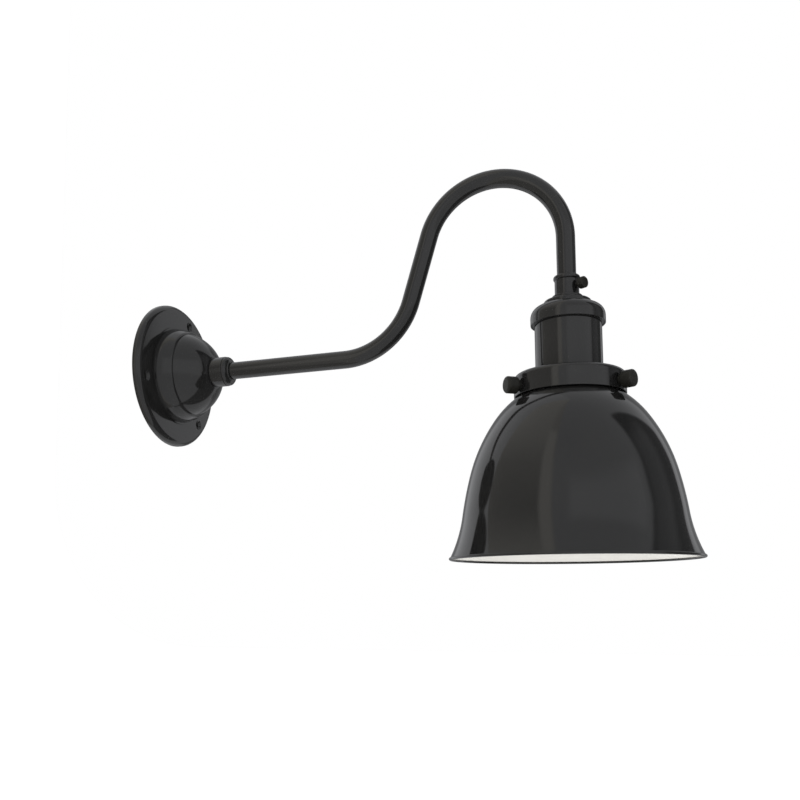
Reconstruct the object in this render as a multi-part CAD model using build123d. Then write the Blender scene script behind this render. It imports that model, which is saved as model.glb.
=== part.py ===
from build123d import *
from math import cos, pi, radians, sin, sqrt
import os

# Swan-neck wall light with a bell shade, in millimetres.
# The wall is the plane Y = 0 and the light stands out towards -Y, with +Z up.
# The origin is the centre of the wall plate's back face.
# Wall pieces are made about the plate's axis, and their heights are distances from the wall.
# Lamp pieces are made about the drop of the swan neck, and their heights start at the top of its bush.

# ---- Driving dimensions: wall plate and dome ----
plate_radius = 68.0
plate_thickness = 7.5
plate_edge_round = 5.0
plate_web = 3.5
plate_rim_width = 6.0
plate_opening_radius = 30.0
fixing_circle_radius = 56.0
fixing_count = 3
fixing_first_angle = 72.0
fixing_hole_radius = 2.6
countersink_radius = 4.9
fixing_boss_radius = 7.5

dome_wall = 1.2
dome_lip_width = 1.3
dome_foot_radius = 45.5
dome_waist_inset = 1.4
dome_waist_reach = 14.7
dome_side_round = 40.0
dome_shoulder_inset = 5.1
dome_shoulder_round = 3.0
dome_shelf_reach = 24.2
dome_ball_radius = 41.6
dome_ball_reach = 8.6

lug_count = 3
lug_first_angle = 90.0
lug_inset = 4.8
lug_size = 8.0
lug_height = 7.0
dome_screw_radius = 2.0
dome_screw_head_radius = 3.5
dome_screw_head_height = 2.2

bridge_thickness = 2.0
bridge_width = 14.0
bridge_end_gap = 5.3
bridge_screw_margin = 4.5
bridge_screw_radius = 1.5
bridge_screw_head_radius = 2.8
bridge_screw_head_height = 2.0

# ---- Driving dimensions: terminals and cable ----
block_pole_count = 3
block_pole_pitch = 8.6
block_depth = 15.0
block_height = 12.0
pole_tube_radius = 2.5
pole_tube_bore = 1.6
pole_rise = 4.8
pole_screw_radius = 1.4
pole_screw_offset = 4.2
block_screw_radius = 1.2
block_screw_head_radius = 2.4
block_screw_head_height = 1.4
earth_place = 21.0
earth_screw_radius = 2.0
earth_head_radius = 3.8
earth_head_height = 2.4
earth_tag_radius = 4.2
earth_tag_thickness = 0.8

cable_radius = 3.2
core_radius = 1.1
core_circle_radius = 1.6
core_turn_radius = 3.5
core_bend_margin = 5.2
core_bow = 10.5
socket_core_drop = 7.0

# ---- Driving dimensions: nipple, hub and lock nut ----
nipple_radius = 6.5
nipple_wall = 1.3
nipple_tail = 3.0
nipple_grip = 5.3
nipple_nut_width = 5.0
nipple_nut_height = 4.0
washer_width = 6.5
washer_thickness = 1.0
bush_flange_thickness = 1.2
bush_depth = 5.0

hub_wall = 3.3
hub_length = 12.4
hub_edge_round = 0.5
hub_spigot_wall = 2.66
hub_spigot_length = 2.0
seat_margin = 0.4
seal_width = 1.86
seal_height = 1.0
lock_nut_wall = 3.0
lock_nut_length = 4.4
lock_nut_round = 3.6
lock_nut_nose_width = 1.9
lock_nut_nose_length = 1.4
lock_nut_nose_round = 0.7

# ---- Driving dimensions: swan neck ----
tube_radius = 7.94
tube_wall = 1.5
run_length = 180.0
knee_radius = 66.0
lean_angle = 73.1
lean_length = 60.2
crook_radius = 61.0
drop_to_bush = 34.0
screw_groove_depth = 0.5
screw_groove_slack = 0.3

# ---- Driving dimensions: lamp holder ----
bead_overhang = 1.0
bead_height = 4.2
bead_round = 1.9
bush_shoulder = 0.8
bush_length = 13.2
spigot_wall = 1.28
spigot_length = 7.6
spigot_stop_lip = 1.04
spigot_stop_height = 1.0
neck_nut_wall = 1.9
neck_nut_height = 4.6
neck_nut_slot = 4.0
neck_nut_slot_depth = 2.3

cap_wall = 1.2
cap_step_width = 2.5
cap_step_height = 2.1
cap_tier_width = 7.0
cap_tier_height = 6.4
cap_overhang = 3.2
cap_skirt_height = 15.8
cap_edge_round = 0.8
cap_tier_slope = 2.6
cap_shoulder_slope = 1.5
cap_tier_round = 1.4
cap_shoulder_round = 9.0

body_radius = 27.6
body_wall = 1.2
body_drop = 40.0
body_collar_height = 6.0
body_collar_inset = 0.6
body_head = 7.5
body_edge_round = 0.8
body_flange = 1.5
body_hole_gap = 0.3

gallery_wall = 1.2
gallery_room = 4.5
gallery_height = 21.0
gallery_slope = 3.0
gallery_round = 4.0
ring_nut_inset = 0.4
ring_nut_width = 6.3
ring_nut_height = 6.0
ring_nut_notches = 12
ring_nut_notch_radius = 1.6

porcelain_gap = 0.6
porcelain_height = 24.2
porcelain_skirt_length = 17.8
porcelain_bore_gap = 0.4
porcelain_bore_depth = 28.0
shell_radius = 13.3
shell_wall = 0.5
shell_length = 22.0
shell_mouth_inset = 2.7
shell_tab_width = 6.0
shell_tab_joggle = 0.3
shell_foot_length = 4.9
shell_rivet_place = 11.2
shell_rivet_radius = 0.9
contact_width = 6.0
contact_thickness = 0.6
contact_root = 8.0
contact_root_length = 5.2
contact_leaf_length = 7.0
contact_tip_length = 3.4
contact_drop = 1.9
contact_rivet_radius = 1.2
earth_post_place = 10.0
earth_stud_radius = 1.2
earth_stud_length = 4.0
terminal_post_size = 6.0
terminal_post_height = 7.0
terminal_post_rivet_depth = 1.7
terminal_post_core_depth = 4.7
post_screw_height = 4.5
post_screw_radius = 1.5
post_screw_head_radius = 2.5
post_screw_head_height = 1.6

# ---- Driving dimensions: thumb screws ----
screw_radius = 2.0
screw_pitch = 0.7
neck_screw_drop = 5.3
neck_screw_angle = -120.0
neck_head_gap = 3.3
neck_head_radius = 4.8
neck_head_length = 5.2
head_socket_depth = 3.0
head_round = 0.9
head_dimple_radius = 2.6
head_dimple_depth = 0.7
neck_screw_travel = 2.2

shade_screw_count = 3
shade_screw_first_angle = 7.0
shade_screw_drop = 14.5
shade_screw_travel = 3.4
screw_bush_radius = 3.4
screw_bush_flange_radius = 4.6
screw_bush_flange_height = 1.9
screw_bush_tail = 0.6
knob_radius = 7.0
knob_length = 9.8
knob_gap = 0.8
knob_round = 2.0

# ---- Driving dimensions: shade ----
shade_wall = 0.9
shade_neck_radius = 40.0
shade_neck_length = 6.2
shade_lip_radius = 1.5
shade_lip_offset = 0.9
neck_fillet_radius = 3.0
neck_fillet_angle = 52.5
neck_slope_length = 5.2
crown_radius = 80.5
crown_angle = 17.7
shoulder_radius = 142.0
shoulder_angle = 20.1
side_radius = 307.0
side_angle = 6.4
flare_radius = 117.0
flare_angle = 18.0
rim_bead_radius = 1.2

# ---- Clearances ----
thread_clearance = 0.05
swivel_clearance = 0.08
press_clearance = 0.02
seat_clearance = 0.1
stop_clearance = 0.3

# ---- Places along the plate's axis, as distances from the wall ----
web_back = plate_thickness - plate_web
dome_lip_radius = dome_foot_radius + dome_lip_width
dome_waist_radius = dome_foot_radius - dome_waist_inset
dome_shoulder_radius = dome_foot_radius - dome_shoulder_inset
lug_circle_radius = dome_foot_radius - dome_wall - lug_inset
bridge_half_length = dome_foot_radius - dome_wall - bridge_end_gap
bridge_screw_place = bridge_half_length - bridge_screw_margin
hub_spigot_radius = tube_radius + hub_spigot_wall
hub_radius = hub_spigot_radius + hub_wall
lock_nut_radius = hub_spigot_radius + lock_nut_wall
dome_seat_radius = hub_radius + seat_margin
dome_seat = dome_ball_reach + sqrt(dome_ball_radius**2 - dome_seat_radius**2)
washer_back = dome_seat - dome_wall - washer_thickness
nut_back = washer_back - nipple_nut_height
nipple_start = nut_back - nipple_tail
nipple_end = dome_seat + nipple_grip
hub_end = dome_seat + hub_length
spigot_end = hub_end + hub_spigot_length
bridge_front = plate_thickness + bridge_thickness
tag_front = bridge_front + earth_tag_thickness
block_front = bridge_front + block_height
pole_height = bridge_front + pole_rise
nipple_bore = nipple_radius - nipple_wall
cable_start = nipple_start - bush_depth

# ---- Places of the arm: the drop of the neck, and the levels of the lamp below it ----
lean = radians(lean_angle)
knee_reach = run_length + knee_radius * sin(lean)
arm_projection = knee_reach + lean_length * cos(lean) + crook_radius * (sin(lean) + 1)
crook_height = knee_radius * (1 - cos(lean)) + lean_length * sin(lean) - crook_radius * cos(lean)
bush_top = crook_height - drop_to_bush
bead_foot = -bead_height
bush_foot = bead_foot - bush_length
spigot_foot = bush_foot - spigot_length
tube_end = spigot_foot + spigot_stop_height + stop_clearance
cable_end = spigot_foot - stop_clearance
cores_start = cable_end - stop_clearance
cap_step_foot = bush_foot - cap_step_height
cap_tier_foot = cap_step_foot - cap_tier_height
cap_foot = cap_tier_foot - cap_skirt_height
body_foot = cap_foot - body_drop
gallery_foot = body_foot - gallery_height
ring_nut_top = body_foot - gallery_wall
porcelain_seat = body_foot + body_flange
porcelain_top = porcelain_seat + porcelain_height
porcelain_foot = porcelain_seat - porcelain_skirt_length
septum = porcelain_foot + porcelain_bore_depth
post_top = porcelain_top + terminal_post_height
post_core_foot = post_top - terminal_post_core_depth
post_screw_level = porcelain_top + post_screw_height
shell_mouth = porcelain_foot + shell_mouth_inset
shell_top = shell_mouth + shell_length
neck_screw_level = bead_foot - neck_screw_drop
shade_screw_level = body_foot - shade_screw_drop
shade_lip_level = shade_screw_level + screw_radius + seat_clearance + shade_lip_radius

# ---- Radii of the lamp pieces ----
spigot_radius = tube_radius + swivel_clearance + spigot_wall
spigot_stop_bore = tube_radius - tube_wall - spigot_stop_lip
bush_radius = spigot_radius + bush_shoulder
bead_radius = bush_radius + bead_overhang
neck_nut_radius = spigot_radius + neck_nut_wall
cap_step_radius = bush_radius + cap_step_width
cap_tier_radius = cap_step_radius + cap_tier_width
cap_radius = body_radius + cap_overhang
ring_nut_radius = body_radius - ring_nut_inset
porcelain_skirt_radius = ring_nut_radius - ring_nut_width
body_hole_radius = porcelain_skirt_radius + body_hole_gap
gallery_radius = shade_neck_radius + gallery_room + gallery_wall
porcelain_radius = body_radius - body_wall - porcelain_gap
porcelain_bore = shell_radius + shell_wall + porcelain_bore_gap
groove_radius = tube_radius - screw_groove_depth
neck_head_start = bush_radius + neck_head_gap
screw_bush_start = gallery_radius - gallery_wall - screw_bush_tail
screw_bush_end = gallery_radius + screw_bush_flange_height
neck_screw_tip = groove_radius + seat_clearance
shade_screw_tip = shade_neck_radius + seat_clearance
knob_start = screw_bush_end + knob_gap


# ---- Ways of making things ----
def turned(corners):
    """A body turned about Z. Each corner is a radius, a height and the radius it is rounded to."""
    points = [(radius, height) for radius, height, rounding in corners]
    rounds = [rounding for radius, height, rounding in corners]
    outline = FilletPolyline(*points, radius=rounds, close=True)
    return revolve(Plane.XZ * make_face(outline), Axis.Z)


def rod(radius, low, high):
    """A round bar on the Z axis between two heights."""
    return Pos(0, 0, low) * Cylinder(radius, high - low, align=(Align.CENTER, Align.CENTER, Align.MIN))


def ring(inner, outer, low, high):
    """A plain ring on the Z axis."""
    return rod(outer, low, high) - rod(inner, low, high)


def block(low, high):
    """A rectangular bar between two corners."""
    centre = [(a + b) / 2 for a, b in zip(low, high)]
    return Pos(*centre) * Box(*[b - a for a, b in zip(low, high)])


def around(part, count, first_angle):
    """Copies of a part evenly spaced round the Z axis."""
    return [Rot(0, 0, first_angle + 360 * index / count) * part for index in range(count)]


def across(x, y, part):
    """Shifts a part sideways."""
    return Pos(x, y, 0) * part


def radial(part, angle, level):
    """Lays a part made along Z out from the lamp's axis."""
    return Pos(0, 0, level) * Rot(0, 0, angle) * Rot(0, 90, 0) * part


def walk(start, heading, moves, inset=0.0):
    """Tangent lines and arcs. A move is a length and no turn, or a radius and a turn, left positive."""
    place = Vector(*start)
    edges = []
    for size, turn in moves:
        direction = Vector(cos(radians(heading)), sin(radians(heading)))
        if turn == 0:
            edge = Line(place, place + direction * size)
        else:
            radius = size + inset if turn > 0 else size - inset
            edge = JernArc(place, direction, radius, turn)
        heading += turn
        place = edge @ 1
        edges.append(edge)
    return edges


def joined(solids):
    """One body out of overlapping solids."""
    whole = solids[0]
    for solid in solids[1:]:
        whole += solid
    return whole


def cleared(part, holes):
    """A part with each hole cut out of it."""
    for hole in holes:
        part -= hole
    return part


def on_wall(part):
    """Turns the Z axis of a wall piece to point out of the wall."""
    return Rot(90, 0, 0) * part


def on_lamp(part):
    """Hangs a lamp piece under the crook of the swan neck."""
    return Pos(0, -arm_projection, bush_top) * part


def save(name, parts):
    """Writes the solids of one piece, or of a group of like pieces, as one file."""
    solids = [solid for part in parts for solid in part.solids()]
    shape = solids[0] if len(solids) == 1 else Compound(children=solids)
    export_step(shape, os.path.join("parts", name + ".step"))


os.makedirs("parts", exist_ok=True)


# ---- Wall plate ----
def wall_plate():
    """The round plate with a raised rim, hollow behind, and three bosses for the wall screws."""
    disc = turned([
        (plate_opening_radius, web_back, 0),
        (plate_opening_radius, plate_thickness, 0),
        (plate_radius, plate_thickness, plate_edge_round),
        (plate_radius, 0, 0),
        (plate_radius - plate_rim_width, 0, 0),
        (plate_radius - plate_rim_width, web_back, 0),
    ])
    boss = across(fixing_circle_radius, 0, rod(fixing_boss_radius, 0, web_back + plate_web / 2))
    sink_depth = countersink_radius - fixing_hole_radius
    sink = Cone(fixing_hole_radius, countersink_radius, sink_depth)
    drill = rod(fixing_hole_radius, 0, plate_thickness) + Pos(0, 0, plate_thickness - sink_depth / 2) * sink
    dome_drill = rod(dome_screw_radius + press_clearance, 0, plate_thickness)
    bridge_drill = rod(bridge_screw_radius + press_clearance, 0, plate_thickness)
    holes = around(across(fixing_circle_radius, 0, drill), fixing_count, fixing_first_angle)
    holes += around(across(lug_circle_radius, 0, dome_drill), lug_count, lug_first_angle)
    holes += around(across(bridge_screw_place, 0, bridge_drill), 2, 0)
    return cleared(joined([disc] + around(boss, fixing_count, fixing_first_angle)), holes)


# ---- Dome cover and what holds it ----
def dome_core(inset):
    """All that lies under the dome's outline: a drum with bowed sides and a ball standing in it."""
    drum = turned([
        (0, plate_thickness, 0),
        (dome_foot_radius - inset, plate_thickness, 0),
        (dome_waist_radius - inset, dome_waist_reach - inset, dome_side_round - inset),
        (dome_shoulder_radius - inset, dome_shelf_reach - inset, dome_shoulder_round - inset),
        (0, dome_shelf_reach - inset, 0),
    ])
    ball = Pos(0, 0, dome_ball_reach) * Sphere(dome_ball_radius - inset)
    return drum + (ball & rod(dome_ball_radius, plate_thickness, dome_seat - inset))


def dome_cover():
    """The spun cover: a shell with an outturned lip and a flat seat for the hub."""
    shell = dome_core(0) - dome_core(dome_wall)
    lip = ring(dome_foot_radius - dome_wall, dome_lip_radius, plate_thickness, plate_thickness + dome_wall)
    return shell + lip - rod(nipple_radius + press_clearance, 0, dome_seat)


def dome_lug():
    """A tapped block welded in the foot of the dome."""
    half = lug_size / 2
    top = plate_thickness + lug_height
    bar = block((lug_circle_radius - half, -half, plate_thickness), (dome_foot_radius, half, top))
    bar &= dome_core(dome_wall)
    return bar - across(lug_circle_radius, 0, rod(dome_screw_radius + press_clearance, 0, top))


def dome_screw():
    """A pan-head screw from behind the plate."""
    head = rod(dome_screw_head_radius, web_back - dome_screw_head_height, web_back)
    shank = rod(dome_screw_radius, web_back, plate_thickness + lug_height)
    return across(lug_circle_radius, 0, head + shank)


save("wall_plate", [on_wall(wall_plate())])
save("dome_cover", [on_wall(dome_cover())])
save("dome_lugs", [on_wall(lug) for lug in around(dome_lug(), lug_count, lug_first_angle)])
save("dome_screws", [on_wall(screw) for screw in around(dome_screw(), lug_count, lug_first_angle)])


# ---- Bridge, terminal block and earth ----
block_half = block_pole_count * block_pole_pitch / 2
pole_places = [(index - (block_pole_count - 1) / 2) * block_pole_pitch for index in range(block_pole_count)]
block_screw_places = [block_pole_pitch / 2, -block_pole_pitch / 2]


def bridge():
    """The strap across the cable opening, drilled for its screws, the block and the earth."""
    half = bridge_width / 2
    strap = block((-bridge_half_length, -half, plate_thickness), (bridge_half_length, half, bridge_front))
    end_drill = rod(bridge_screw_radius + press_clearance, 0, bridge_front)
    block_drill = rod(block_screw_radius + press_clearance, 0, bridge_front)
    earth_drill = rod(earth_screw_radius + press_clearance, 0, bridge_front)
    holes = around(across(bridge_screw_place, 0, end_drill), 2, 0)
    holes += [across(x, 0, block_drill) for x in block_screw_places]
    return cleared(strap, holes + [across(earth_place, 0, earth_drill)])


def bridge_screw():
    """A screw through the strap into the plate's web."""
    head = rod(bridge_screw_head_radius, bridge_front, bridge_front + bridge_screw_head_height)
    return across(bridge_screw_place, 0, rod(bridge_screw_radius, web_back, bridge_front) + head)


def pole_screws(x, clearance):
    """The two clamping screws of one pole, resting on the core."""
    tip = pole_height + core_radius + press_clearance - clearance
    screw = rod(pole_screw_radius + clearance, tip, block_front)
    return [across(x, side * pole_screw_offset, screw) for side in (-1, 1)]


def terminal_block():
    """The moulding, bored across for its tubes and down for the screws."""
    half_depth = block_depth / 2
    body = block((-block_half, -half_depth, bridge_front), (block_half, half_depth, block_front))
    bore = Rot(90, 0, 0) * Cylinder(pole_tube_radius + press_clearance, block_depth)
    drill = rod(block_screw_radius + press_clearance, bridge_front, block_front)
    sink_foot = block_front - block_screw_head_height
    sink = rod(block_screw_head_radius + press_clearance, sink_foot, block_front)
    holes = [Pos(x, 0, pole_height) * bore for x in pole_places]
    holes += [screw for x in pole_places for screw in pole_screws(x, press_clearance)]
    return cleared(body, holes + [across(x, 0, drill + sink) for x in block_screw_places])


def terminal_tube(x):
    """One brass pole, drilled for its core and screws."""
    tube = Rot(90, 0, 0) * (Cylinder(pole_tube_radius, block_depth) - Cylinder(pole_tube_bore, block_depth))
    return cleared(Pos(x, 0, pole_height) * tube, pole_screws(x, press_clearance))


def block_screw(x):
    """A sunk screw that holds the moulding to the strap."""
    head = rod(block_screw_head_radius, block_front - block_screw_head_height, block_front)
    return across(x, 0, rod(block_screw_radius, plate_thickness, block_front) + head)


def earth_tag():
    """The ring tongue under the earth screw."""
    half = earth_tag_radius / 2
    tail = block((-half, 0, bridge_front), (half, 2 * earth_tag_radius, tag_front))
    hole = rod(earth_screw_radius + press_clearance, bridge_front, tag_front)
    return across(earth_place, 0, rod(earth_tag_radius, bridge_front, tag_front) + tail - hole)


def earth_screw():
    """The earth screw through the tag and the strap."""
    head = rod(earth_head_radius, tag_front, tag_front + earth_head_height)
    return across(earth_place, 0, rod(earth_screw_radius, plate_thickness, tag_front) + head)


save("bridge", [on_wall(bridge())])
save("bridge_screws", [on_wall(screw) for screw in around(bridge_screw(), 2, 0)])
save("terminal_block", [on_wall(terminal_block())])
save("terminal_tubes", [on_wall(terminal_tube(x)) for x in pole_places])
save("terminal_screws", [on_wall(screw) for x in pole_places for screw in pole_screws(x, 0)])
save("terminal_block_screws", [on_wall(block_screw(x)) for x in block_screw_places])
save("earth_tag", [on_wall(earth_tag())])
save("earth_screw", [on_wall(earth_screw())])

# ---- Nipple, nut, washer and cable bush ----
def nipple_nut():
    """The hexagonal nut that pulls the dome and the hub together."""
    outline = RegularPolygon(nipple_radius + nipple_nut_width, 6)
    nut = Pos(0, 0, nut_back) * extrude(outline, nipple_nut_height)
    return nut - rod(nipple_radius + press_clearance, nut_back, washer_back)


def nipple_washer():
    """The washer between the nut and the dome."""
    front = washer_back + washer_thickness
    return ring(nipple_radius + press_clearance, nipple_radius + washer_width, washer_back, front)


def cable_bush():
    """The plastic bush in the tail of the nipple."""
    plug_end = nipple_start + bush_depth
    flange = rod(nipple_radius, nipple_start - bush_flange_thickness, nipple_start)
    plug = rod(nipple_bore - press_clearance, nipple_start, plug_end)
    return flange + plug - rod(cable_radius + press_clearance, cable_start, plug_end)


save("nipple", [on_wall(ring(nipple_bore, nipple_radius, nipple_start, nipple_end))])
save("nipple_nut", [on_wall(nipple_nut())])
save("nipple_washer", [on_wall(nipple_washer())])
save("cable_bush", [on_wall(cable_bush())])


# ---- Hub, sealing ring and lock nut ----
def hub():
    """The coupling on the dome's seat: threaded for the nipple behind and bored for the arm in front."""
    body = turned([
        (0, dome_seat, 0),
        (hub_radius, dome_seat, 0),
        (hub_radius, hub_end, hub_edge_round),
        (hub_spigot_radius, hub_end, 0),
        (hub_spigot_radius, spigot_end, 0),
        (0, spigot_end, 0),
    ])
    body -= rod(nipple_radius + press_clearance, dome_seat, nipple_end)
    return body - rod(tube_radius + press_clearance, nipple_end, spigot_end)


def sealing_ring():
    """The rubber ring that the lock nut squeezes round the arm."""
    front = spigot_end + seal_height
    return ring(tube_radius + press_clearance, tube_radius + seal_width, spigot_end, front)


def lock_nut():
    """The round nut that draws the sealing ring on to the arm, with a rounded shoulder and a short nose."""
    shoulder = hub_end + lock_nut_length
    nose = shoulder + lock_nut_nose_length
    nose_radius = tube_radius + lock_nut_nose_width
    body = turned([
        (0, hub_end, 0),
        (lock_nut_radius, hub_end, hub_edge_round),
        (lock_nut_radius, shoulder, lock_nut_round),
        (0, shoulder, 0),
    ])
    body += turned([
        (0, hub_end, 0),
        (nose_radius, hub_end, 0),
        (nose_radius, nose, lock_nut_nose_round),
        (0, nose, 0),
    ])
    body -= rod(hub_spigot_radius + press_clearance, hub_end, spigot_end + seal_height)
    return body - rod(tube_radius + press_clearance, hub_end, nose)


save("hub", [on_wall(hub())])
save("sealing_ring", [on_wall(sealing_ring())])
save("lock_nut", [on_wall(lock_nut())])

# ---- Swan neck and cable ----
arm_plane = Plane(origin=(0, 0, 0), x_dir=(0, -1, 0), z_dir=(-1, 0, 0))


def arm_bar(radius, start, end_level):
    """A round bar along the arm's line, from a distance from the wall to a level of the lamp."""
    drop = crook_height - bush_top - end_level
    moves = [
        (run_length - start, 0),
        (knee_radius, lean_angle),
        (lean_length, 0),
        (crook_radius, -lean_angle - 90),
        (drop, 0),
    ]
    line = arm_plane * Wire(walk((start, 0), 0, moves))
    section = Plane(origin=line @ 0, z_dir=line % 0) * Circle(radius)
    return sweep(section, path=line)


def swan_neck_tube():
    """The bent tube, with a shallow groove near its lower end for the thumb screw's tip."""
    bore = arm_bar(tube_radius - tube_wall, nipple_end, tube_end)
    half = screw_radius + screw_groove_slack
    groove = ring(groove_radius, bush_radius, neck_screw_level - half, neck_screw_level + half)
    return arm_bar(tube_radius, nipple_end, tube_end) - bore - on_lamp(groove)


def core(points):
    """A stripped core, bent round through a few points."""
    line = FilletPolyline(*points, radius=core_turn_radius)
    return sweep(Plane(origin=line @ 0, z_dir=line % 0) * Circle(core_radius), path=line)


def wall_core(x, angle):
    """One core, from the cable's end round into its pole."""
    start_x = core_circle_radius * cos(radians(angle))
    start_y = core_circle_radius * sin(radians(angle))
    bend_y = block_depth / 2 + core_bow
    return core([
        (start_x, start_y, cable_start),
        (start_x, start_y, cable_start - core_bend_margin),
        (x, bend_y, block_front),
        (x, bend_y, pole_height),
        (x, 0, pole_height),
    ])


save("swan_neck_tube", [swan_neck_tube()])
save("flex_cable", [arm_bar(cable_radius, cable_start, cable_end)])
core_angles = [90 - 360 * (index - 1) / block_pole_count for index in range(block_pole_count)]
save("flex_cores", [on_wall(wall_core(x, angle)) for x, angle in zip(pole_places, core_angles)])


# ---- Neck bush and its nut ----
def neck_bush():
    """The bush that turns on the end of the arm, with a rolled bead, a spigot and a stop for the tube."""
    bead = turned([
        (0, 0, 0),
        (bead_radius, 0, bead_round),
        (bead_radius, bead_foot, bead_round),
        (0, bead_foot, 0),
    ])
    body = bead + rod(bush_radius, bush_foot, bead_foot) + rod(spigot_radius, spigot_foot, bush_foot)
    body -= rod(tube_radius + swivel_clearance, spigot_foot + spigot_stop_height, 0)
    body -= rod(spigot_stop_bore, spigot_foot, 0)
    hole = rod(screw_radius + thread_clearance, 0, bush_radius)
    return body - radial(hole, neck_screw_angle, neck_screw_level)


def neck_nut():
    """The round slotted nut under the cap."""
    top = bush_foot - cap_wall
    foot = top - neck_nut_height
    half = neck_nut_slot / 2
    nut = ring(spigot_radius + press_clearance, neck_nut_radius, foot, top)
    slot = block((0, -half, foot), (neck_nut_radius, half, foot + neck_nut_slot_depth))
    return cleared(nut, around(slot, 2, 0))


# ---- Stepped cap, holder body and gallery ----
def cap_core(inset):
    """All that lies under the cap's outline: a step, a tier and a wide rounded shoulder."""
    edge_round = max(cap_edge_round - inset, 0)
    tier_round = cap_tier_round - inset
    shoulder_round = cap_shoulder_round - inset
    return turned([
        (0, bush_foot - inset, 0),
        (cap_step_radius - inset, bush_foot - inset, edge_round),
        (cap_step_radius - inset, cap_step_foot - inset, 0),
        (cap_tier_radius - inset, cap_step_foot - cap_tier_slope - inset, tier_round),
        (cap_tier_radius - inset, cap_tier_foot - inset, 0),
        (cap_radius - inset, cap_tier_foot - cap_shoulder_slope - inset, shoulder_round),
        (cap_radius - inset, cap_foot, 0),
        (0, cap_foot, 0),
    ])


def holder_cap():
    """The spun cap, open below and bored for the neck bush's spigot."""
    return cap_core(0) - cap_core(cap_wall) - rod(spigot_radius + press_clearance, cap_foot, 0)


def holder_body():
    """The plain drum under the cap, with a threaded collar on top and a flange turned in below."""
    inside = body_radius - body_wall
    drum = turned([
        (body_hole_radius, body_foot, 0),
        (body_radius, body_foot, body_edge_round),
        (body_radius, cap_foot + body_head, 0),
        (inside, cap_foot + body_head, 0),
        (inside, porcelain_seat, 0),
        (body_hole_radius, porcelain_seat, 0),
    ])
    collar_foot = cap_foot + body_collar_inset
    collar_radius = cap_radius - cap_wall - press_clearance
    return drum + ring(inside, collar_radius, collar_foot, collar_foot + body_collar_height)


def gallery():
    """The shallow hood that carries the shade, with three holes for the threaded bushes."""
    inside = gallery_radius - gallery_wall
    hood = turned([
        (body_hole_radius, body_foot, 0),
        (body_radius, body_foot, 0),
        (gallery_radius, body_foot - gallery_slope, gallery_round),
        (gallery_radius, gallery_foot, 0),
        (inside, gallery_foot, 0),
        (inside, ring_nut_top - gallery_slope, gallery_round - gallery_wall),
        (body_radius, ring_nut_top, 0),
        (body_hole_radius, ring_nut_top, 0),
    ])
    hole = radial(rod(screw_bush_radius + press_clearance, 0, gallery_radius), 0, shade_screw_level)
    return cleared(hood, around(hole, shade_screw_count, shade_screw_first_angle))


def screw_bush():
    """A threaded bush pressed into the gallery."""
    body = rod(screw_bush_radius, screw_bush_start, screw_bush_end)
    body += rod(screw_bush_flange_radius, gallery_radius, screw_bush_end)
    return radial(body - rod(screw_radius + thread_clearance, 0, screw_bush_end), 0, shade_screw_level)


def gallery_ring_nut():
    """The notched ring that clamps the gallery and the body between itself and the porcelain."""
    low = ring_nut_top - ring_nut_height
    nut = ring(porcelain_skirt_radius + press_clearance, ring_nut_radius, low, ring_nut_top)
    notch = across(ring_nut_radius, 0, rod(ring_nut_notch_radius, low, ring_nut_top))
    return cleared(nut, around(notch, ring_nut_notches, 0))


save("neck_bush", [on_lamp(neck_bush())])
save("neck_nut", [on_lamp(neck_nut())])
save("holder_cap", [on_lamp(holder_cap())])
save("holder_body", [on_lamp(holder_body())])
save("gallery", [on_lamp(gallery())])
bushes = around(screw_bush(), shade_screw_count, shade_screw_first_angle)
save("screw_bushes", [on_lamp(bush) for bush in bushes])
save("gallery_ring_nut", [on_lamp(gallery_ring_nut())])


# ---- Lamp socket ----
def porcelain():
    """The socket body: a drum on the flange, a threaded skirt below it and the bore for the lamp."""
    body = turned([
        (0, porcelain_foot, 0),
        (porcelain_skirt_radius, porcelain_foot, body_edge_round),
        (porcelain_skirt_radius, porcelain_seat, 0),
        (porcelain_radius, porcelain_seat, 0),
        (porcelain_radius, porcelain_top, body_edge_round),
        (0, porcelain_top, 0),
    ])
    body -= rod(porcelain_bore, porcelain_foot, septum)
    shell_drill = rod(shell_rivet_radius + press_clearance, septum, porcelain_top)
    contact_drill = rod(contact_rivet_radius + press_clearance, septum, porcelain_top)
    earth_foot = porcelain_top - earth_stud_length - seat_clearance
    earth_drill = rod(earth_stud_radius + press_clearance, earth_foot, porcelain_top)
    body -= across(shell_rivet_place, 0, shell_drill)
    body -= across(-contact_root, 0, contact_drill)
    return body - across(0, earth_post_place, earth_drill)


def screw_shell():
    """The lamp's threaded shell, hung from the floor of the socket by a tab set a little outwards."""
    outer = shell_radius + shell_wall
    tab_outer = outer + shell_tab_joggle
    half = shell_tab_width / 2
    foot_level = septum - shell_wall
    shell = ring(shell_radius, outer, shell_mouth, shell_top)
    tab = ring(shell_radius + shell_tab_joggle, tab_outer, shell_top, septum)
    tab &= block((0, -half, shell_top), (tab_outer, half, septum))
    foot = block((tab_outer - shell_foot_length, -half, foot_level), (tab_outer, half, septum))
    foot &= rod(tab_outer, foot_level, septum)
    hole = across(shell_rivet_place, 0, rod(shell_rivet_radius + press_clearance, foot_level, septum))
    return shell + tab + foot - hole


def rivet(x, radius, grip):
    """A rivet from under a brass foot up into its terminal post."""
    foot = septum - grip
    head = rod(2 * radius, foot - radius / 2, foot)
    return across(x, 0, head + rod(radius, foot, porcelain_top + terminal_post_rivet_depth))


def contact_foot():
    """The riveted root of the centre contact."""
    low = septum - contact_thickness
    half_width = contact_width / 2
    half_length = contact_root_length / 2
    foot = block((-half_length, -half_width, low), (half_length, half_width, septum))
    return across(-contact_root, 0, foot - rod(contact_rivet_radius + press_clearance, low, septum))


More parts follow.
